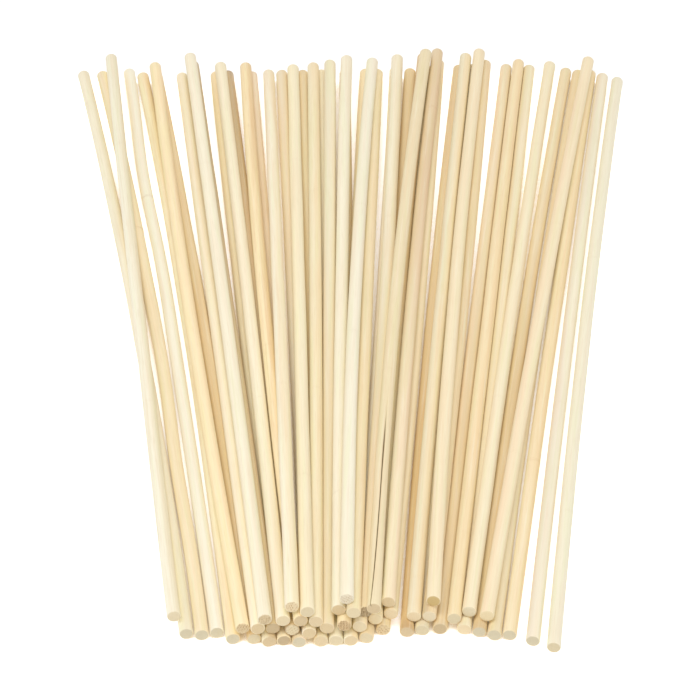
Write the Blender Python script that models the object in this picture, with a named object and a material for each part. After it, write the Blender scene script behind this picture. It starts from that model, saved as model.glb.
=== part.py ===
"""A loose bundle of bamboo stakes, lying fanned out on a flat surface.

Every stake is one rod, planed round and cut square at both ends. The near ends (-Y) are heaped together
and the far ends (+Y) spread apart. Nothing ties them. The stakes are laid one by one, in the order of
the table, and each comes to rest on the surface or on the stakes below it.
"""

import math

import bmesh
import bpy
from mathutils import Matrix

# Stakes of 18 by 1/4 inch, in metres.
INCH = 0.0254
LENGTH = 18 * INCH
DIAMETER = INCH / 4
END_CHAMFER = 0.0004
SIDES = 12
BENDS = 4  # straight runs that make up a stake's bow

CLEARANCE = 0.00012  # left between the round outlines of two stakes that touch
STATIONS = 48  # places along a stake where its height over the others is taken, an even number
MM = 0.001

# Each layer from left to right. All distances are in millimetres:
#   near, far: how far that end is from the bundle's middle line, + to the right
#   bow: how far the stake's middle is bent to the right
#   arch: how far the stake's middle is bent upwards
#   slide: how far the stake lies towards the far side
#   tone: 0 is pale cream and 1 is deep tan
LAYERS = {
    "bottom": (
        (-71.6, -146.0, 3.9, 0.0, 2.5, 0.45),
        (-64.9, -135.6, 4.2, 0.0, 2.0, 0.50),
        (-58.3, -121.0, 1.2, 0.0, 4.0, 0.25),
        (-51.2, -113.5, 2.8, 0.0, 0.0, 0.55),
        (-42.0, -105.7, 1.8, 0.0, 0.0, 0.90),
        (-35.4, -85.5, 0.5, 0.0, -1.0, 0.80),
        (-28.9, -73.5, -0.8, 0.0, 0.0, 0.75),
        (-22.4, -54.0, 0.0, 0.0, -0.5, 0.80),
        (-12.9, -26.2, 0.0, 0.0, 0.5, 0.75),
        (-6.4, -15.8, 0.0, 0.0, 1.0, 0.80),
        (0.1, -3.0, 0.0, 0.0, 1.0, 0.60),
        (7.0, 32.7, 1.0, 0.0, 2.5, 0.85),
        (14.3, 41.0, 0.0, 0.0, 7.5, 0.70),
        (24.6, 59.5, -1.8, 0.0, 6.0, 0.85),
        (31.2, 67.5, -1.5, 0.0, 7.0, 0.85),
        (39.1, 85.5, -0.5, 0.0, 7.5, 0.65),
        (49.6, 98.0, 0.0, 0.0, 7.0, 0.60),
        (56.2, 118.0, -1.7, 0.0, 4.5, 0.80),
        (62.7, 124.5, -1.4, 0.0, 2.5, 0.75),
        (69.3, 131.2, -0.5, 0.0, 2.5, 0.65),
        (79.3, 137.6, -1.1, 0.0, -1.0, 0.30),
        (88.3, 145.5, -2.0, 0.0, -5.0, 0.25),
    ),
    "second": (
        (-77.0, -131.0, -0.5, 0.0, 8.0, 0.15),
        (-46.8, -106.5, -1.8, 0.0, 0.0, 0.60),
        (-40.2, -92.0, 0.0, 0.0, -1.0, 0.50),
        (-33.6, -85.8, 0.3, 0.0, 0.5, 0.60),
        (-25.2, -67.0, 0.8, 1.0, 0.5, 0.85),
        (-17.9, -37.5, 0.0, 0.0, 0.5, 0.70),
        (-10.2, -11.2, 0.4, 0.0, 1.5, 0.50),
        (-2.7, 8.2, -1.0, 1.5, 1.5, 0.70),
        (4.0, 24.5, 1.0, 1.0, 3.5, 0.70),
        (10.8, 39.8, -1.5, 0.0, 8.0, 0.85),
        (17.6, 48.5, 0.6, 1.0, 11.5, 0.65),
        (27.6, 63.2, -0.9, 0.0, 9.5, 0.45),
        (34.3, 74.0, 0.9, 0.0, 9.5, 0.70),
        (45.2, 92.1, -0.4, 0.0, 9.0, 0.60),
        (51.8, 109.5, -0.8, 1.0, 11.0, 0.40),
        (59.5, 130.0, -1.2, 0.0, 7.0, 0.45),
    ),
    "third": (
        (-37.0, -87.2, 0.5, 0.0, -1.0, 0.10),
        (-29.3, -71.0, 0.7, 0.0, 0.0, 0.30),
        (-21.6, -57.2, -2.5, 1.0, 0.0, 0.80),
        (-15.0, -20.4, 0.6, 0.0, 0.8, 0.55),
        (-5.2, -2.2, -0.7, 1.0, 5.5, 0.25),
        (6.5, 25.6, 1.1, 1.5, 6.5, 0.45),
        (16.6, 47.7, -1.7, 0.0, 12.0, 0.55),
        (36.1, 70.8, -2.2, 0.0, 12.5, 0.40),
    ),
    "fourth": (
        (-25.3, -44.7, 0.1, 3.5, 1.0, 0.15),
        (-18.7, -31.3, 0.0, 0.0, 0.0, 0.40),
        (1.3, 14.7, -0.3, 2.0, 1.5, 0.75),
        (10.0, 41.1, -3.4, 1.5, 2.5, 0.50),
    ),
    "top": (
        (-1.7, 12.0, -2.9, 2.0, 4.0, 0.15),
    ),
}

PALE_CREAM = (0.86, 0.78, 0.60)
DEEP_TAN = (0.62, 0.41, 0.19)
ROUGHNESS = 0.55


def bow_at(bow, along):
    """How far a stake is bent aside, at a place from 0, its near end, to 1, its far end."""
    run = min(int(along * BENDS), BENDS - 1)
    start, end = (4 * bow * (node / BENDS) * (1 - node / BENDS) for node in (run, run + 1))
    return start + (end - start) * (along * BENDS - run)


class Stake:
    """Where one stake lies."""

    def __init__(self, near, far, bow, arch, slide):
        self.bow = bow
        self.arch = arch
        self.heading = math.asin((near - far) / LENGTH)
        self.reach = LENGTH * math.cos(self.heading)
        self.middle = ((near + far) / 2, slide)
        self.near_height = 0.0
        self.far_height = 0.0

    def from_above(self, along):
        """X and Y of the centre line, at a place from 0 to 1 along it."""
        sideways = bow_at(self.bow, along)
        forwards = (along - 0.5) * LENGTH
        x = self.middle[0] + sideways * math.cos(self.heading) - forwards * math.sin(self.heading)
        y = self.middle[1] + sideways * math.sin(self.heading) + forwards * math.cos(self.heading)
        return x, y

    def height(self, along):
        level = self.near_height + (self.far_height - self.near_height) * along
        return level + bow_at(self.arch, along)

    def height_to_clear(self, x, y):
        """The least height at which another stake's centre line passes this place without touching."""
        along = (y - self.middle[1]) / self.reach + 0.5
        if not 0 <= along <= 1:
            return 0.0
        aside = (x - self.from_above(along)[0]) * math.cos(self.heading)
        room = (DIAMETER + CLEARANCE) ** 2 - aside**2
        if room <= 0:
            return 0.0
        return self.height(along) + math.sqrt(room)

    def lay_on(self, others):
        """Lower the stake until it rests on two places, one on each side of its middle."""
        places = [station / (STATIONS - 1) for station in range(STATIONS)]
        flat_down = DIAMETER / 2 * math.cos(math.pi / SIDES)
        needed = [
            max([flat_down] + [other.height_to_clear(*self.from_above(place)) for other in others])
            - bow_at(self.arch, place)
            for place in places
        ]
        supports = [
            (
                needed[a] + (needed[b] - needed[a]) * (0.5 - places[a]) / (places[b] - places[a]),
                (needed[b] - needed[a]) / (places[b] - places[a]),
            )
            for a in range(STATIONS // 2)
            for b in range(STATIONS // 2, STATIONS)
        ]
        middle_height, slope = max(supports, key=lambda support: support[0])
        self.near_height = middle_height - slope / 2
        self.far_height = middle_height + slope / 2

    @property
    def tilt(self):
        return math.asin((self.far_height - self.near_height) / LENGTH)


def rod(bow, arch):
    """A stake along Z, bent towards +X and -Y, with a flat side facing +Y."""
    mesh = bmesh.new()
    bmesh.ops.create_cone(
        mesh,
        cap_ends=True,
        segments=SIDES,
        radius1=DIAMETER / 2,
        radius2=DIAMETER / 2,
        depth=LENGTH,
        matrix=Matrix.Rotation(math.pi / SIDES, 4, "Z"),
    )
    rims = [edge for edge in mesh.edges if abs(edge.verts[0].co.z - edge.verts[1].co.z) < LENGTH / 2]
    bmesh.ops.bevel(mesh, geom=rims, offset=END_CHAMFER, segments=1, affect="EDGES")
    for node in range(1, BENDS):
        bmesh.ops.bisect_plane(
            mesh,
            geom=mesh.verts[:] + mesh.edges[:] + mesh.faces[:],
            plane_co=(0, 0, (node / BENDS - 0.5) * LENGTH),
            plane_no=(0, 0, 1),
        )
    for vertex in mesh.verts:
        along = min(max(vertex.co.z / LENGTH + 0.5, 0), 1)
        vertex.co.x += bow_at(bow, along)
        vertex.co.y -= bow_at(arch, along)
    return mesh


def wood(name, tone):
    material = bpy.data.materials.new(name)
    material.use_nodes = True
    shader = material.node_tree.nodes["Principled BSDF"]
    colour = [pale + (deep - pale) * tone for pale, deep in zip(PALE_CREAM, DEEP_TAN)]
    shader.inputs["Base Color"].default_value = (*colour, 1)
    shader.inputs["Roughness"].default_value = ROUGHNESS
    shader.inputs["Metallic"].default_value = 0
    return material


def add_stake(name, stake, tone, bundle, root):
    """One stake as an object of its own, put where it lies."""
    mesh = bpy.data.meshes.new(name)
    solid = rod(stake.bow, stake.arch)
    solid.to_mesh(mesh)
    solid.free()
    mesh.materials.append(wood(name, tone))
    mesh.shade_smooth()
    mesh.set_sharp_from_angle(angle=math.radians(35))
    piece = bpy.data.objects.new(name, mesh)
    piece.location = (*stake.middle, (stake.near_height + stake.far_height) / 2)
    piece.rotation_euler = (stake.tilt - math.pi / 2, 0, stake.heading)
    piece.parent = root
    bundle.objects.link(piece)
    return piece


def clear_scene():
    for thing in list(bpy.data.objects):
        bpy.data.objects.remove(thing)


def corners(pieces):
    bpy.context.view_layer.update()
    return [piece.matrix_world @ vertex.co for piece in pieces for vertex in piece.data.vertices]


def main():
    clear_scene()
    bundle = bpy.data.collections.new("bamboo_stakes")
    bpy.context.scene.collection.children.link(bundle)
    root = bpy.data.objects.new("bundle_middle", None)
    bundle.objects.link(root)
    laid = []
    pieces = []
    for layer, rows in LAYERS.items():
        for number, (near, far, bow, arch, slide, tone) in enumerate(rows, start=1):
            stake = Stake(near * MM, far * MM, bow * MM, arch * MM, slide * MM)
            stake.lay_on(laid)
            laid.append(stake)
            pieces.append(add_stake(f"{layer}_stake_{number:02d}", stake, tone, bundle, root))
    # The bundle's box is centred over the origin.
    for axis in (0, 1):
        places = [corner[axis] for corner in corners(pieces)]
        root.location[axis] = -(min(places) + max(places)) / 2


main()
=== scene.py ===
"""Looks for the bundle of bamboo stakes.

Every packed stake is replaced by a finer one on the same centre line: slightly out of round, with worn
edges, sawn ends and the faint joints of the bamboo. Long fibres show as streaks along its side and as dots
on its ends. Some stakes have marks of their own: a knot, a kink, a torn end or a lengthwise split. Warm
light is painted into the gaps between the stakes, and a dark line of painted shade runs where they touch.
A white floor, which glows to make up for the stakes' shadows and is painted tan as shade in the narrowest
gaps, soft light from above and the camera complete the scene.
"""

import math

import bmesh
import bpy
import numpy as np
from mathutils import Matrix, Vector


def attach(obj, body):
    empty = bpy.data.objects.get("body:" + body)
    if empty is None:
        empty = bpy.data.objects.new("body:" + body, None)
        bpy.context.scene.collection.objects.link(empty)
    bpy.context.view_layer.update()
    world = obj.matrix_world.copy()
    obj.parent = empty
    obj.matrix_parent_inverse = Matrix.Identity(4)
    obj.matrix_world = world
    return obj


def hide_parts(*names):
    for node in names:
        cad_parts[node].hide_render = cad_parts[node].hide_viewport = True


MM = 0.001

# The mesh of a stake. All lengths are in metres.
RADIUS = 3.175 * MM
AROUND = 40  # sides
STEP = 6 * MM  # between rings along a stake
JOINT_STEP = 0.8 * MM  # between the closer rings at a joint of the bamboo
JOINT_REACH = 4 * MM  # how far these closer rings go on each side of the joint
EDGE_ACROSS = 0.75 * MM  # width of the worn edge round a sawn end, seen from the end
EDGE_ALONG = 0.45 * MM  # and seen from the side
EDGE_RINGS = 5
END_RINGS = 6  # rings on a sawn end
TORN_RINGS = 16  # rings on a torn end
HEADINGS = 50  # places where a stake's direction is taken
WELD = 0.001 * MM
RING_GAP = 5 * MM  # packed rings lie further apart than this

# Small departures from a true cylinder, as shares of the radius where no unit is given.
SHRINK = 0.985
SWELL = 0.006
SWELL_WAVES = (0.05, 0.2)  # the shortest and the longest, in metres
OUT_OF_ROUND = 0.010
FLATS = 0.003
FLAT_SIDES = 5
JOINT_PLACES = ((0.05, 0.45), (0.55, 0.95))  # where each joint may lie, as shares of the length
JOINT_SWELL = 0.012
JOINT_SWELL_REACH = 2.5 * MM
JOINT_GROOVE = 0.012
JOINT_GROOVE_REACH = 0.7 * MM
JOINT_MARK_REACH = 0.9 * MM
LIFT = 0.2 * MM  # keeps the rounded undersides above the floor
WANDER = 0.12 * MM  # how far a stake strays sideways from its smooth centre line
RISE = 0.04 * MM  # and upwards
WANDER_WAVES = (0.08, 0.3)  # the shortest and the longest, in metres
SLANT = 0.05  # steepest slope of a sawn end
SAW_MARKS = 0.03 * MM
SAW_PITCH = 0.35 * MM
PHASE = 6  # waves on an end are shifted by up to this, in radians
TORN_DEPTH = 0.7 * MM
TORN_WAVES = 8
TORN_SHARPNESS = 3  # the higher it is, the fewer fibres have broken off in full
FIBRE = (0.09 * MM, 0.22 * MM)  # fineness of the torn fibres

# The split along one stake. Places are shares of its length from the near end.
SPLIT_STAKE = "fourth_stake_04"
SPLIT_FINENESS = 1.6  # crowds the sides of the mesh towards the split
SPLIT_TIP = 0.34
SPLIT_TAPER = 0.14  # how far it takes to open in full
SPLIT_WIDEST = 0.25
SPLIT_SPREAD = 0.035  # how far the wide part reaches
SPLIT_WIDTHS = (0.24 * MM, 0.28 * MM)  # half the width of the narrow part, and what the wide part adds
SPLIT_DEPTH = 1.5 * MM
SPLIT_ANGLE = math.radians(80)  # where it runs, from the right-hand side over the top
SPLIT_TURN = math.radians(45)  # how far it strays to the left at the near end
SPLIT_TURN_REACH = 0.07

# Marks of single stakes. Places are shares of the length from the near end.
KNOTS = {  # place, strength
    "bottom_stake_02": (0.67, 5.0),
    "bottom_stake_03": (0.73, 4.0),
    "bottom_stake_20": (0.26, 3.0),
    "third_stake_05": (0.17, 3.0),
    "third_stake_07": (0.87, 4.0),
}
KINKS = {  # place, reach, shift to the right in metres
    "bottom_stake_02": (0.26, 0.10, -1.0 * MM),
    "bottom_stake_03": (0.78, 0.13, -2.0 * MM),
}
TORN_ENDS = {  # share of the full depth
    "bottom_stake_13": 0.6,
    "second_stake_02": 0.7,
    "second_stake_05": 0.4,
    "second_stake_08": 1.0,
    "third_stake_01": 0.6,
    "third_stake_06": 0.9,
    "fourth_stake_01": 0.5,
    "top_stake_01": 0.5,
}

# Colours of bare bamboo, roughly from pale to deep.
COLOURS = {
    "chalk": (0.89, 0.82, 0.61),
    "cream": (0.92, 0.82, 0.585),
    "milk": (0.95, 0.82, 0.565),
    "pearl": (0.87, 0.775, 0.54),
    "lemon": (0.93, 0.79, 0.485),
    "ash": (0.83, 0.75, 0.53),
    "straw": (0.87, 0.75, 0.475),
    "butter": (0.95, 0.755, 0.41),
    "pear": (0.8, 0.7, 0.46),
    "olive": (0.87, 0.715, 0.435),
    "gold": (0.935, 0.72, 0.4),
    "stone": (0.79, 0.68, 0.5),
    "peach": (0.87, 0.67, 0.41),
    "honey": (0.86, 0.685, 0.385),
    "apricot": (0.865, 0.645, 0.335),
    "biscuit": (0.8, 0.645, 0.37),
    "rose": (0.85, 0.64, 0.42),
    "khaki": (0.76, 0.62, 0.355),
    "drift": (0.69, 0.59, 0.37),
    "tan": (0.81, 0.61, 0.325),
    "clay": (0.78, 0.575, 0.29),
    "orange": (0.79, 0.535, 0.25),
    "amber": (0.715, 0.52, 0.265),
    "brown": (0.67, 0.48, 0.235),
    "umber": (0.6, 0.43, 0.21),
    "moss": (0.64, 0.43, 0.14),
    "cocoa": (0.53, 0.38, 0.19),
    "bark": (0.43, 0.3, 0.16),
}
BLUSH = (1.0, 0.955, 0.94)  # tints that some streaks take
BLOOM = (0.965, 1.0, 0.93)
DEEPENING = (0.45, 0.65, 0.85)  # what the deepest tone takes from red, green and blue

# How wide and how long the features of the bamboo are.
TONES = (6 * MM, 120 * MM)
BROWN_STREAKS = (1.5 * MM, 70 * MM)
PALE_STREAKS = (1.1 * MM, 45 * MM)
TINTS = (2 * MM, 60 * MM)
FIBRES = (0.4 * MM, 14 * MM)
PORES = (0.8 * MM, 18 * MM)
SPECKS = (1.2 * MM, 1.2 * MM)
SAW_GRAIN = (0.3 * MM, 0.6 * MM)
DOTS = (0.6 * MM, 40 * MM)

# How much each feature changes the colour at most, from 0 to 1.
BROWN_STREAK_SHARE = 0.5
PALE_STREAK_SHARE = 0.35
FIBRE_SHARE = 0.45
PORE_SHARE = 0.25
JOINT_SHARES = (0.02, 0.14)  # the least and the most along a joint
DOT_SHARE = 0.35
TORN_SHADE_SHARE = 0.9
CONTACT_SHADE_SHARE = 0.8

# Places with a low openness, from 0 to 1, lie deep between other stakes; there the bamboo's colour takes
# painted light and painted shade.
GAP_REACH = 12 * MM  # how near other stakes have to be for a place to take the painted light of their bounce
GAP_RANGE = (0.75, 0.4)
GAP_LIGHT = (0.43, 0.24, 0.07)  # painted light: what the light bounced between the stakes adds to the colour in the gaps
CONTACT_SHADE_REACH = 3 * MM  # how near another stake has to be for the painted shade on the line where they touch
CONTACT_SHADE_RANGE = (0.3, 0.08)
OPENNESS_SAMPLES = 8

LENGTHWISE_SHADE_RANGE = (0.2, 0.75)  # painted shade: a stake shaded at one end changes between these shares of its length
LENGTHWISE_SHADE_DEPTH = 0.8
# painted shade: how dark the inside of the open split is painted
SPLIT_SHADE = 0.35
END_GRAIN_AND_SHADE = 0.82  # a sawn end is darker than the side of the same stake: partly the darker end grain, partly painted shade for ends that face away from the light
ROUGHNESS = (0.5, 0.62)
SPECULAR = 0.3
RELIEF = 0.06 * MM
RELIEF_STRENGTH = 0.6

# Every stake's left side, right side and sawn ends.
LOOKS = {
    "bottom_stake_01": ("pearl", "pear", "drift"),
    "bottom_stake_02": ("olive", "honey", "drift"),
    "bottom_stake_03": ("chalk", "chalk", "drift"),
    "bottom_stake_04": ("lemon", "apricot", "drift"),
    "bottom_stake_05": ("brown", "tan", "khaki"),
    "bottom_stake_06": ("straw", "cocoa", "amber"),
    "bottom_stake_07": ("butter", "butter", "cocoa"),
    "bottom_stake_08": ("umber", "rose", "drift"),
    "bottom_stake_09": ("amber", "khaki", "tan"),
    "bottom_stake_10": ("straw", "pear", "biscuit"),
    "bottom_stake_11": ("cream", "apricot", "tan"),
    "bottom_stake_12": ("amber", "clay", "biscuit"),
    "bottom_stake_13": ("apricot", "apricot", "apricot"),
    "bottom_stake_14": ("amber", "amber", "amber"),
    "bottom_stake_15": ("khaki", "drift", "khaki"),
    "bottom_stake_16": ("peach", "biscuit", "umber"),
    "bottom_stake_17": ("khaki", "straw", "gold"),
    "bottom_stake_18": ("tan", "biscuit", "drift"),
    "bottom_stake_19": ("clay", "khaki", "drift"),
    "bottom_stake_20": ("olive", "apricot", "drift"),
    "bottom_stake_21": ("stone", "pearl", "drift"),
    "bottom_stake_22": ("ash", "ash", "khaki"),
    "second_stake_01": ("chalk", "pear", "olive"),
    "second_stake_02": ("butter", "gold", "apricot"),
    "second_stake_03": ("milk", "lemon", "clay"),
    "second_stake_04": ("umber", "cocoa", "umber"),
    "second_stake_05": ("bark", "bark", "honey"),
    "second_stake_06": ("milk", "olive", "clay"),
    "second_stake_07": ("pear", "straw", "clay"),
    "second_stake_08": ("gold", "clay", "orange"),
    "second_stake_09": ("milk", "gold", "honey"),
    "second_stake_10": ("gold", "butter", "butter"),
    "second_stake_11": ("cocoa", "honey", "gold"),
    "second_stake_12": ("pear", "honey", "gold"),
    "second_stake_13": ("cocoa", "tan", "olive"),
    "second_stake_14": ("honey", "apricot", "khaki"),
    "second_stake_15": ("olive", "straw", "straw"),
    "second_stake_16": ("peach", "olive", "butter"),
    "third_stake_01": ("cream", "pearl", "tan"),
    "third_stake_02": ("milk", "straw", "honey"),
    "third_stake_03": ("butter", "orange", "amber"),
    "third_stake_04": ("straw", "honey", "tan"),
    "third_stake_05": ("cream", "pearl", "clay"),
    "third_stake_06": ("pearl", "straw", "cocoa"),
    "third_stake_07": ("straw", "peach", "clay"),
    "third_stake_08": ("olive", "olive", "moss"),
    "fourth_stake_01": ("cream", "olive", "gold"),
    "fourth_stake_02": ("lemon", "straw", "biscuit"),
    "fourth_stake_03": ("khaki", "honey", "honey"),
    "fourth_stake_04": ("biscuit", "biscuit", "amber"),
    "top_stake_01": ("pearl", "chalk", "milk"),
}
# Stakes darker and browner towards one end, as painted shade: how much at the near end, and at the far
# end.
LENGTHWISE_SHADE = {
    "bottom_stake_05": (0.4, 0.0),
    "bottom_stake_14": (0.85, 0.0),
    "bottom_stake_16": (0.5, 0.0),
    "bottom_stake_18": (0.7, 0.0),
    "second_stake_06": (0.0, 0.35),
    "second_stake_07": (0.35, 0.0),
    "second_stake_10": (0.0, 0.85),
    "third_stake_06": (0.55, 0.0),
    "third_stake_07": (0.0, 0.5),
}

# Light and camera.
SKY = 0.74
SOFTBOX_PLACE = (-0.15, -0.6, 1.5)
SOFTBOX_SIZE = 0.7
SOFTBOX_POWER = 11.5
TONE_GAMMA = 1.3  # softens the shadows, as a camera's tone curve does
FLOOR_SIZE = 12
FLOOR_WHITE = (0.95, 0.95, 0.95)
FLOOR_GAP_SHADE = (0.64, 0.50, 0.28)  # painted shade: the tan colour of the floor between stakes that almost touch
FLOOR_GAP_SHADE_RANGE = (0.13, 0.27)
FLOOR_REACH = 40 * MM  # how near the stakes have to be to close the floor in
FLOOR_GLOW = (0.88, 0.1)  # painted light: the floor glows to make up for the light that the stakes take, close by and in the open
FLOOR_GLOW_RANGE = (0.3, 1.0)
FLOOR_SHADE = 0.1  # painted shade: how much of the glow is left where two stakes touch
FLOOR_SHADE_RANGE = (0.0, 0.2)
FLOOR_ROUGHNESS = 0.9
CAMERA_ELEVATION = math.radians(37.5)
CAMERA_DISTANCE = 1.582
CAMERA_TARGET = (0.0, -0.0191, 0.0)
LENS = 166.7
SENSOR = 36


def centre_line(node):
    """A stake's length, and its middle as a function of how far along it a place is."""
    corners = np.unique(np.round([vertex.co for vertex in node.data.vertices], 6), axis=0)
    corners = corners[np.argsort(corners[:, 1])]
    rings = np.split(corners, np.flatnonzero(np.diff(corners[:, 1]) > RING_GAP) + 1)
    centres = np.array([ring.mean(axis=0) for ring in rings])
    heading = centres[1] - centres[0]
    heading /= np.linalg.norm(heading)
    inset = np.ptp(rings[0] @ heading) / 2
    reach = np.linalg.norm(centres[-1] - centres[0])
    bend = np.polynomial.polynomial.polyfit(
        np.linspace(0, 1, len(centres)), centres, min(2, len(centres) - 1)
    )

    def middle(along):
        return np.polynomial.polynomial.polyval((along - inset) / reach, bend).T

    return reach + 2 * inset, middle


def bump(places, middle, reach):
    """1 at the middle, falling smoothly to 0 beyond the reach."""
    return np.exp(-(((places - middle) / reach) ** 2))


def waves(rng, places, shortest, longest, count=4):
    """Smooth random ups and downs of about -1 to 1 along a stake."""
    total = np.zeros_like(places)
    for _ in range(count):
        total += np.sin(2 * math.pi * (places / rng.uniform(shortest, longest) + rng.random()))
    return total / count


def side_places(length, joints):
    """Where the rings of a stake's side lie, closer together at the joints."""
    places = np.arange(EDGE_ALONG + STEP, length - EDGE_ALONG - STEP / 2, STEP)
    for joint, _ in joints:
        closer = joint + np.arange(-JOINT_REACH, JOINT_REACH + JOINT_STEP / 2, JOINT_STEP)
        places = np.append(places[np.abs(places - joint) > JOINT_REACH], closer)
    return np.sort(places[(places > EDGE_ALONG) & (places < length - EDGE_ALONG)])


def profile(length, joints, end_rings):
    """The rings from end to end: place along the stake, share of its radius, and 1 on a sawn end."""
    face = 1 - EDGE_ACROSS / RADIUS
    end = [(0.0, share * face, 1.0) for share in np.linspace(0, 1, end_rings, endpoint=False)]
    for turn in np.linspace(0, math.pi / 2, EDGE_RINGS):
        outwards = face + (1 - face) * math.sin(turn)
        end.append((EDGE_ALONG * (1 - math.cos(turn)), outwards, math.cos(turn) ** 2))
    side = [(place, 1.0, 0.0) for place in side_places(length, joints)]
    far = [(length - place, share, cut) for place, share, cut in reversed(end)]
    return np.array(end + side + far).T


def angles(name, along_share):
    """Directions of the mesh's sides round the stake, one row for each ring."""
    turns = np.linspace(-1, 1, AROUND, endpoint=False)
    if name != SPLIT_STAKE:
        return np.tile(math.pi * turns, (len(along_share), 1))
    around = math.pi * np.sign(turns) * np.abs(turns) ** SPLIT_FINENESS
    stray = SPLIT_TURN * np.exp(-along_share / SPLIT_TURN_REACH)
    return SPLIT_ANGLE + stray[:, None] + around[None, :]


def split(name, along_share):
    """How much the split has opened at each corner of the mesh, from 0 to 1."""
    if name != SPLIT_STAKE:
        return np.zeros((len(along_share), AROUND))
    narrow, wider = SPLIT_WIDTHS
    width = narrow + wider * bump(along_share, SPLIT_WIDEST, SPLIT_SPREAD)
    turns = np.linspace(-1, 1, AROUND, endpoint=False)
    off = RADIUS * math.pi * np.abs(turns) ** SPLIT_FINENESS
    opening = np.clip((SPLIT_TIP - along_share) / SPLIT_TAPER, 0, 1)
    return opening[:, None] * np.exp(-((off[None, :] / width[:, None]) ** 2))


def skin(rng, along, angle, joints):
    """How far the skin is from the stake's middle, at each corner of the mesh."""
    radius = RADIUS * (SHRINK + SWELL * waves(rng, along, *SWELL_WAVES))
    for joint, strength in joints:
        radius += RADIUS * strength * JOINT_SWELL * bump(along, joint, JOINT_SWELL_REACH)
        radius -= RADIUS * strength * JOINT_GROOVE * bump(along, joint, JOINT_GROOVE_REACH)
    squash = 1 + OUT_OF_ROUND * np.cos(2 * (angle - rng.uniform(0, math.pi)))
    squash += FLATS * np.cos(FLAT_SIDES * (angle - rng.uniform(0, math.pi)))
    return radius[:, None] * squash


def sawn(rng, x, y):
    """How far back a sawn end lies behind a flat square cut, in metres."""
    slope_x, slope_y = rng.uniform(-SLANT, SLANT, 2)
    saw_marks = SAW_MARKS * np.sin(x / SAW_PITCH + rng.uniform(0, PHASE))
    return slope_x * x + slope_y * y + 2 * SLANT * RADIUS + saw_marks


def ragged(rng, x, y):
    """How far the fibres of a torn end have broken off at each place, from 0 to 1."""
    total = np.zeros_like(x)
    for _ in range(TORN_WAVES):
        turn = rng.uniform(0, 2 * math.pi)
        fineness = rng.uniform(*FIBRE)
        total += np.sin((x * math.cos(turn) + y * math.sin(turn)) / fineness + rng.uniform(0, PHASE))
    return np.clip(total / TORN_SHARPNESS, 0, 1)


def directions(length, middle, along):
    """The stake's heading, and its sideways and upward directions, at these places."""
    stations = np.linspace(0, length, HEADINGS)
    slopes = np.gradient(middle(stations), axis=0)
    heading = np.array([np.interp(along, stations, slopes[:, axis]) for axis in range(3)]).T
    heading /= np.linalg.norm(heading, axis=1)[:, None]
    side = np.cross(heading, (0, 0, 1))
    side /= np.linalg.norm(side, axis=1)[:, None]
    return heading, side, np.cross(side, heading)


def stake_mesh(name, node, seed):
    """A stake's mesh, with the attributes that its material reads."""
    rng = np.random.default_rng(seed)
    length, middle = centre_line(node)
    joints = [(rng.uniform(*places) * length, 1.0) for places in JOINT_PLACES]
    if name in KNOTS:
        place, strength = KNOTS[name]
        joints = [(place * length, strength)]
    torn = TORN_ENDS.get(name, 0.0)
    along, share, cut = profile(length, joints, TORN_RINGS if torn else END_RINGS)
    angle = angles(name, along / length)
    opening = split(name, along / length)

    across = (skin(rng, along, angle, joints) - SPLIT_DEPTH * opening) * share[:, None]
    x = across * np.cos(angle)
    y = across * np.sin(angle)
    near = (along <= EDGE_ALONG)[:, None]
    far = (along >= length - EDGE_ALONG)[:, None]
    broken = np.where(near, torn * ragged(rng, x, y), 0.0)
    z = along[:, None] + near * sawn(rng, x, y) - far * sawn(rng, x, y) + TORN_DEPTH * broken

    heading, side, up = directions(length, middle, along)
    sideways = WANDER * waves(rng, along, *WANDER_WAVES)
    if name in KINKS:
        place, reach, shift = KINKS[name]
        sideways += shift * bump(along / length, place, reach)
    upwards = LIFT + RISE * waves(rng, along, *WANDER_WAVES)
    centre = middle(along) + side * sideways[:, None] + up * upwards[:, None]
    points = (
        centre[:, None, :]
        + x[:, :, None] * side[:, None, :]
        + y[:, :, None] * up[:, None, :]
        + (z - along[:, None])[:, :, None] * heading[:, None, :]
    )

    ring, step = np.meshgrid(np.arange(len(along) - 1), np.arange(AROUND), indexing="ij")
    a = ring * AROUND + step
    b = ring * AROUND + (step + 1) % AROUND
    quads = np.stack([a, a + AROUND, b + AROUND, b], axis=-1).reshape(-1, 4)
    mesh = bpy.data.meshes.new(name + "_looks")
    mesh.from_pydata(points.reshape(-1, 3).tolist(), [], quads.tolist())

    turn = rng.uniform(0, 2 * math.pi)
    turned = (x * math.cos(turn) - y * math.sin(turn), x * math.sin(turn) + y * math.cos(turn))
    mark = sum(strength * bump(along, joint, JOINT_MARK_REACH) for joint, strength in joints)
    add_attribute(mesh, "grain", "FLOAT_VECTOR", np.stack([*turned, z + seed], axis=-1))
    add_attribute(mesh, "aside", "FLOAT", x / RADIUS)
    add_attribute(mesh, "along", "FLOAT", np.repeat(along / length, AROUND))
    add_attribute(mesh, "cut", "FLOAT", np.repeat(cut, AROUND))
    add_attribute(mesh, "mark", "FLOAT", np.repeat(mark, AROUND))
    add_attribute(mesh, "split", "FLOAT", opening)
    add_attribute(mesh, "broken", "FLOAT", broken)
    weld_centres(mesh)
    mesh.shade_smooth()
    return mesh


def add_attribute(mesh, name, kind, values):
    attribute = mesh.attributes.new(name, kind, "POINT")
    field = "vector" if kind == "FLOAT_VECTOR" else "value"
    attribute.data.foreach_set(field, np.ascontiguousarray(values, np.float32).reshape(-1))


def weld_centres(mesh):
    """Join the corners of the rings that have no width, in the middle of the ends."""
    shape = bmesh.new()
    shape.from_mesh(mesh)
    bmesh.ops.remove_doubles(shape, verts=shape.verts[:], dist=WELD)
    shape.to_mesh(mesh)
    shape.free()


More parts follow.
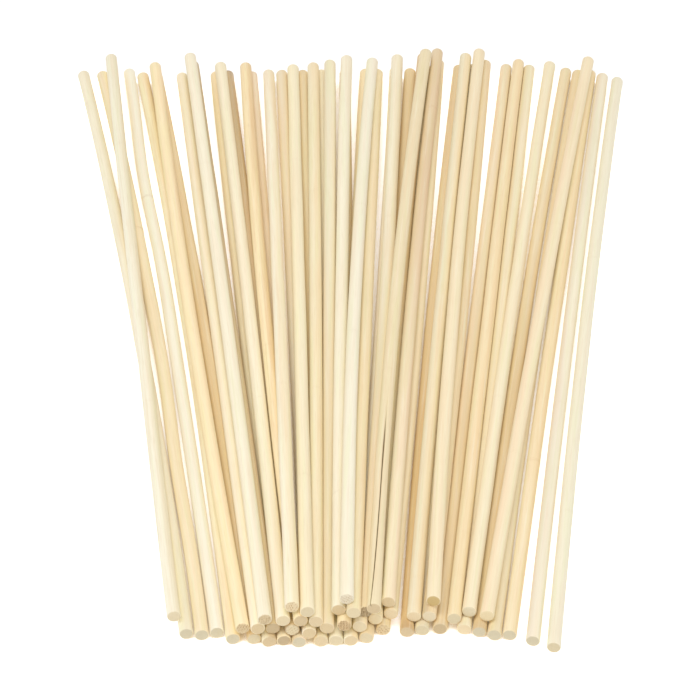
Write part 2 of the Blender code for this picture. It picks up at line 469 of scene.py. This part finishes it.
class Tree:
    """Short calls to build a material's nodes."""

    def __init__(self, name):
        self.material = bpy.data.materials.new(name)
        self.material.use_nodes = True
        self.nodes = self.material.node_tree.nodes
        self.links = self.material.node_tree.links
        self.shader = self.nodes["Principled BSDF"]

    def feed(self, value, socket):
        if isinstance(value, bpy.types.NodeSocket):
            self.links.new(value, socket)
        elif isinstance(value, tuple) and len(value) == 3 and len(socket.default_value) == 4:
            socket.default_value = (*value, 1)
        else:
            socket.default_value = value

    def attribute(self, name, output):
        node = self.nodes.new("ShaderNodeAttribute")
        node.attribute_name = name
        return node.outputs[output]

    def stretch(self, place, across, along):
        """Coordinates in which a feature so wide and so long, in metres, is one unit each way."""
        node = self.nodes.new("ShaderNodeMapping")
        self.feed(place, node.inputs["Vector"])
        node.inputs["Scale"].default_value = (1 / across, 1 / across, 1 / along)
        return node.outputs["Vector"]

    def noise(self, place, across, along, detail=2.0, roughness=0.5):
        node = self.nodes.new("ShaderNodeTexNoise")
        self.feed(self.stretch(place, across, along), node.inputs["Vector"])
        node.inputs["Scale"].default_value = 1
        node.inputs["Detail"].default_value = detail
        node.inputs["Roughness"].default_value = roughness
        return node.outputs["Fac"]

    def cells(self, place, across, along):
        """Distance from the middle of the nearest of many scattered long cells."""
        node = self.nodes.new("ShaderNodeTexVoronoi")
        self.feed(self.stretch(place, across, along), node.inputs["Vector"])
        node.inputs["Scale"].default_value = 1
        return node.outputs["Distance"]

    def openness(self, reach):
        """1 where nothing stands over the surface within this reach, and less in narrow gaps."""
        node = self.nodes.new("ShaderNodeAmbientOcclusion")
        node.inputs["Distance"].default_value = reach
        node.samples = OPENNESS_SAMPLES
        return node.outputs["AO"]

    def remap(self, value, low, high, to_low=0.0, to_high=1.0):
        node = self.nodes.new("ShaderNodeMapRange")
        node.interpolation_type = "SMOOTHSTEP"
        self.feed(value, node.inputs["Value"])
        node.inputs["From Min"].default_value = low
        node.inputs["From Max"].default_value = high
        node.inputs["To Min"].default_value = to_low
        node.inputs["To Max"].default_value = to_high
        return node.outputs["Result"]

    def math(self, operation, first, second):
        node = self.nodes.new("ShaderNodeMath")
        node.operation = operation
        self.feed(first, node.inputs[0])
        self.feed(second, node.inputs[1])
        return node.outputs["Value"]

    def mix(self, share, first, second, blend="MIX"):
        node = self.nodes.new("ShaderNodeMix")
        node.data_type = "RGBA"
        node.blend_type = blend
        self.feed(share, node.inputs[0])
        self.feed(first, node.inputs[6])
        self.feed(second, node.inputs[7])
        return node.outputs[2]

    def bump(self, height, depth, strength):
        node = self.nodes.new("ShaderNodeBump")
        node.inputs["Strength"].default_value = strength
        node.inputs["Distance"].default_value = depth
        self.feed(height, node.inputs["Height"])
        return node.outputs["Normal"]


def darken(colour, share):
    return tuple(channel * share for channel in colour)


def deepen(colour, amount):
    """A darker and warmer tone of a colour."""
    return tuple(channel * (1 - loss * amount) for channel, loss in zip(colour, DEEPENING))


def two_tones(tree, place, left, right, lengthwise_shade):
    """One colour on each side of the stake, and on some stakes painted shade that makes them browner
    towards one end.
    """
    aside = tree.attribute("aside", "Fac")
    drift = tree.math("MULTIPLY", tree.noise(place, *TONES), 2.0)
    sides = tree.remap(tree.math("ADD", aside, drift), 0.4, 1.6)
    colour = tree.mix(sides, left, right)
    if not any(lengthwise_shade):
        return colour
    # painted shade towards one end of the stake
    brown = tree.remap(tree.attribute("along", "Fac"), *LENGTHWISE_SHADE_RANGE, *lengthwise_shade)
    return tree.mix(brown, colour, deepen(right, LENGTHWISE_SHADE_DEPTH))


def add_streaks(tree, place, colour, right):
    """Long brown and pale streaks with faint tints."""
    brown = tree.remap(tree.noise(place, *BROWN_STREAKS), 0.45, 0.75, 0.0, BROWN_STREAK_SHARE)
    colour = tree.mix(brown, colour, deepen(right, 0.22))
    pale = tree.remap(tree.noise(place, *PALE_STREAKS), 0.5, 0.8, 0.0, PALE_STREAK_SHARE)
    colour = tree.mix(pale, colour, COLOURS["chalk"])
    tint = tree.noise(place, *TINTS)
    colour = tree.mix(tree.remap(tint, 0.5, 0.65), colour, BLUSH, "MULTIPLY")
    return tree.mix(tree.remap(tint, 0.5, 0.35), colour, BLOOM, "MULTIPLY")


def add_joints(tree, place, colour, right):
    """Faint uneven lines round the joints of the bamboo."""
    uneven = tree.remap(tree.noise(place, *SPECKS), 0.35, 0.65, *JOINT_SHARES)
    line = tree.math("MULTIPLY", tree.attribute("mark", "Fac"), uneven)
    return tree.mix(line, colour, deepen(right, 0.6))


def shade_gaps(tree, colour, right):
    """Painted light and shade: warm light painted between stakes that lie close together, a dark line of
    painted shade where they touch, and painted shade inside the split.
    """
    gap = tree.remap(tree.openness(GAP_REACH), *GAP_RANGE)
    # painted light: warm bounce light added to the colour in the gaps
    colour = tree.mix(gap, colour, GAP_LIGHT, "SCREEN")
    # painted shade: a dark line where two stakes touch
    contact_shade = tree.remap(tree.openness(CONTACT_SHADE_REACH), *CONTACT_SHADE_RANGE, 0.0, CONTACT_SHADE_SHARE)
    colour = tree.mix(contact_shade, colour, deepen(right, 0.8))
    # painted shade inside the open split
    opening = tree.remap(tree.attribute("split", "Fac"), 0.15, 0.6)
    return tree.mix(opening, colour, darken(deepen(right, 0.9), SPLIT_SHADE))


def sawn_end(tree, place, rough, end):
    """End grain: the cut fibres show as dots, and torn ones as hollows darkened with painted shade."""
    # partly darker end grain, partly painted shade on the end faces
    end = darken(end, END_GRAIN_AND_SHADE)
    colour = tree.mix(tree.remap(rough, 0.3, 0.7), deepen(end, 0.12), end)
    dots = tree.remap(tree.cells(place, *DOTS), 0.1, 0.4, DOT_SHARE, 0.0)
    colour = tree.mix(dots, colour, deepen(end, 0.6))
    # painted shade in the hollows of a torn end, deeper where more has broken off
    hollows = tree.remap(tree.attribute("broken", "Fac"), 0.15, 0.6, 0.0, TORN_SHADE_SHARE)
    return tree.mix(hollows, colour, deepen(end, 0.85))


def bamboo(name, left, right, end, lengthwise_shade):
    """Bare bamboo: two tones, long streaks, fine fibres, faint joints and dotted sawn ends, with painted
    light and shade between the stakes and along some of them.
    """
    tree = Tree(name)
    place = tree.attribute("grain", "Vector")
    cut = tree.attribute("cut", "Fac")
    fibres = tree.noise(place, *FIBRES, detail=3.0, roughness=0.6)
    pores = tree.remap(tree.cells(place, *PORES), 0.06, 0.26, 1.0, 0.0)
    rough = tree.noise(place, *SAW_GRAIN, detail=3.0, roughness=0.7)

    colour = two_tones(tree, place, left, right, lengthwise_shade)
    colour = add_streaks(tree, place, colour, right)
    colour = tree.mix(tree.remap(fibres, 0.45, 0.75, 0.0, FIBRE_SHARE), colour, deepen(right, 0.3))
    colour = tree.mix(tree.math("MULTIPLY", pores, PORE_SHARE), colour, deepen(right, 0.5))
    colour = add_joints(tree, place, colour, right)
    colour = shade_gaps(tree, colour, right)
    colour = tree.mix(tree.remap(cut, 0.2, 0.95), colour, sawn_end(tree, place, rough, end))
    tree.feed(colour, tree.shader.inputs["Base Color"])
    tree.feed(tree.remap(fibres, 0.3, 0.7, *ROUGHNESS), tree.shader.inputs["Roughness"])
    tree.shader.inputs["Metallic"].default_value = 0
    tree.shader.inputs["Specular IOR Level"].default_value = SPECULAR

    height = tree.math("SUBTRACT", fibres, tree.math("MULTIPLY", pores, 0.5))
    height = tree.math("ADD", height, tree.math("MULTIPLY", tree.math("MULTIPLY", rough, cut), 2.0))
    tree.feed(tree.bump(height, RELIEF, RELIEF_STRENGTH), tree.shader.inputs["Normal"])
    return tree.material


def add_stakes():
    for seed, (name, look) in enumerate(LOOKS.items(), start=1):
        mesh = stake_mesh(name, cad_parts[name], seed)
        colours = [COLOURS[word] for word in look]
        mesh.materials.append(bamboo(name + "_bamboo", *colours, LENGTHWISE_SHADE.get(name, (0.0, 0.0))))
        piece = bpy.data.objects.new(name + "_looks", mesh)
        bpy.context.scene.collection.objects.link(piece)
        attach(piece, "root")
        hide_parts(name)


def add_floor():
    bpy.ops.mesh.primitive_plane_add(size=FLOOR_SIZE)
    floor = bpy.context.object
    floor.name = "floor"
    tree = Tree("white_floor")
    openness = tree.openness(FLOOR_REACH)
    # painted shade: the floor turns tan where the stakes close it in
    colour = tree.mix(tree.remap(openness, *FLOOR_GAP_SHADE_RANGE), FLOOR_GAP_SHADE, FLOOR_WHITE)
    tree.feed(colour, tree.shader.inputs["Base Color"])
    tree.shader.inputs["Roughness"].default_value = FLOOR_ROUGHNESS
    tree.shader.inputs["Specular IOR Level"].default_value = 0.0
    # painted light: the floor glows where the stakes' shadows would fall, and less where two stakes touch
    tree.feed(colour, tree.shader.inputs["Emission Color"])
    lost_light = tree.remap(openness, *FLOOR_GLOW_RANGE, *FLOOR_GLOW)
    shade = tree.remap(openness, *FLOOR_SHADE_RANGE, FLOOR_SHADE, 1.0)
    tree.feed(tree.math("MULTIPLY", shade, lost_light), tree.shader.inputs["Emission Strength"])
    floor.data.materials.append(tree.material)


def add_softbox():
    light = bpy.data.lights.new("softbox", "AREA")
    light.shape = "SQUARE"
    light.size = SOFTBOX_SIZE
    light.energy = SOFTBOX_POWER
    lamp = bpy.data.objects.new("softbox", light)
    bpy.context.scene.collection.objects.link(lamp)
    lamp.location = SOFTBOX_PLACE
    lamp.rotation_euler = (-Vector(SOFTBOX_PLACE)).to_track_quat("-Z", "Y").to_euler()


def add_sky():
    sky = bpy.data.worlds.new("studio")
    bpy.context.scene.world = sky
    sky.use_nodes = True
    background = sky.node_tree.nodes["Background"]
    background.inputs["Color"].default_value = (1, 1, 1, 1)
    background.inputs["Strength"].default_value = SKY


def add_camera():
    lens = bpy.data.cameras.new("camera")
    lens.lens = LENS
    lens.sensor_width = SENSOR
    camera = bpy.data.objects.new("camera", lens)
    bpy.context.scene.collection.objects.link(camera)
    back = Vector((0, -math.cos(CAMERA_ELEVATION), math.sin(CAMERA_ELEVATION)))
    camera.location = Vector(CAMERA_TARGET) + back * CAMERA_DISTANCE
    camera.rotation_euler = (-back).to_track_quat("-Z", "Y").to_euler()
    bpy.context.scene.camera = camera
    bpy.context.scene.view_settings.view_transform = "Standard"
    bpy.context.scene.view_settings.gamma = TONE_GAMMA


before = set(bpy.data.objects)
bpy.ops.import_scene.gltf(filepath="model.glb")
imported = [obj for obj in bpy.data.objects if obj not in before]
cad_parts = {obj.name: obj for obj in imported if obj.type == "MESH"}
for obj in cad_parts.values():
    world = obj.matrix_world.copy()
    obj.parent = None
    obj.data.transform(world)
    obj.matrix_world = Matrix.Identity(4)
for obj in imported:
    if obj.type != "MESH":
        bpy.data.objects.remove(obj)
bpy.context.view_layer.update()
add_camera()
add_sky()
add_softbox()
add_floor()
add_stakes()
